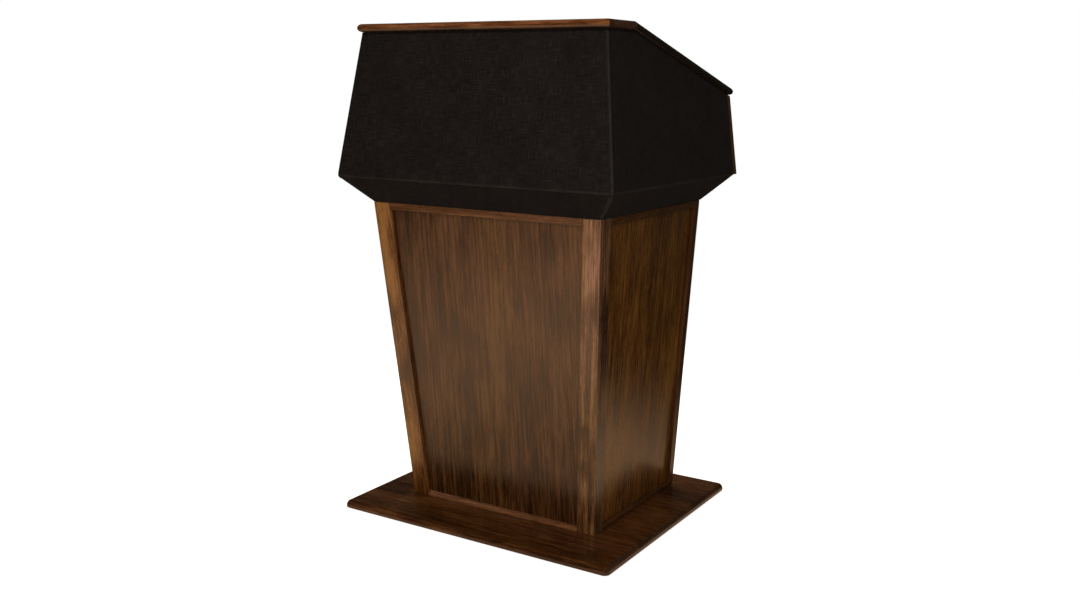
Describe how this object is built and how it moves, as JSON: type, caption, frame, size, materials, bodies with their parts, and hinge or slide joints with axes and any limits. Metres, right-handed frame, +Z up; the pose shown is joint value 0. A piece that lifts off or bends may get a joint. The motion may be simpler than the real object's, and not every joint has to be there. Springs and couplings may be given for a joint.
{
  "type": "presentation lectern",
  "caption": "Standing lectern: base board, panelled walnut column widening upwards, flared black cloth hood, sloping reading board and an open back with a shelf.",
  "frame": {"origin": "on the floor below the middle of the lectern's bounding box", "axes": "+Z up, +Y towards the speaker, -Y towards the audience, +X to the audience's right-hand side seen from the front"},
  "size_m": [0.774, 0.67, 1.219],
  "materials": {
    "walnut_solid": "dark walnut stain under satin lacquer, straight grain along each post and rail",
    "walnut_veneer": "dark stained walnut veneer, upright fine grain, satin lacquer",
    "base_walnut": "dark walnut stain under gloss lacquer, grain along the front edge",
    "top_walnut": "red-brown walnut with rounded edges, satin lacquer",
    "carcass_ply": "plain plywood and softwood cleats, sealed",
    "black_cloth": "matt black plain-weave cloth stretched over padding",
    "nylon": "moulded nylon",
    "zinc_steel": "zinc-plated steel"
  },
  "bodies": {
    "lectern": {"base_board": "base_walnut", "glide_front_left": "nylon", "glide_back_left": "nylon", "glide_front_right": "nylon", "glide_back_right": "nylon", "base_screw_1": "zinc_steel", "base_screw_2": "zinc_steel", "base_screw_3": "zinc_steel", "base_screw_4": "zinc_steel", "base_screw_5": "zinc_steel", "base_screw_6": "zinc_steel", "post_front_left": "walnut_solid", "post_back_left": "walnut_solid", "post_front_right": "walnut_solid", "post_back_right": "walnut_solid", "panel_front": "walnut_veneer", "panel_left": "walnut_veneer", "panel_right": "walnut_veneer", "top_rail_front": "walnut_solid", "top_rail_left": "walnut_solid", "top_rail_right": "walnut_solid", "foot_moulding_front": "walnut_solid", "foot_moulding_left": "walnut_solid", "foot_moulding_right": "walnut_solid", "back_rail_bottom": "walnut_solid", "back_rail_top": "walnut_solid", "base_cleat_front": "carcass_ply", "base_cleat_left": "carcass_ply", "base_cleat_right": "carcass_ply", "shelf_pin_front_left": "zinc_steel", "shelf_pin_back_left": "zinc_steel", "shelf_pin_front_right": "zinc_steel", "shelf_pin_back_right": "zinc_steel", "hood_bevel_front": "carcass_ply", "cloth_bevel_front": "black_cloth", "hood_bevel_left": "carcass_ply", "cloth_bevel_left": "black_cloth", "hood_bevel_right": "carcass_ply", "cloth_bevel_right": "black_cloth", "hood_bevel_back": "walnut_veneer", "hood_floor": "walnut_veneer", "hood_wall_front": "carcass_ply", "hood_wall_left": "carcass_ply", "hood_wall_right": "carcass_ply", "cloth_hood": "black_cloth", "hood_stile_left": "walnut_solid", "hood_stile_right": "walnut_solid", "hood_sill": "walnut_solid", "hood_apron": "walnut_solid", "top_cleat_front": "carcass_ply", "top_cleat_left": "carcass_ply", "top_cleat_right": "carcass_ply", "top_board": "top_walnut", "reading_board": "top_walnut", "paper_stop": "top_walnut"},
    "shelf": {"shelf": "walnut_veneer"}
  },
  "joints": [
    {"name": "shelf_slide", "type": "slide", "parent": "lectern", "child": "shelf", "axis": [0, 1, 0], "range_m": [0, 0.44]}
  ]
}
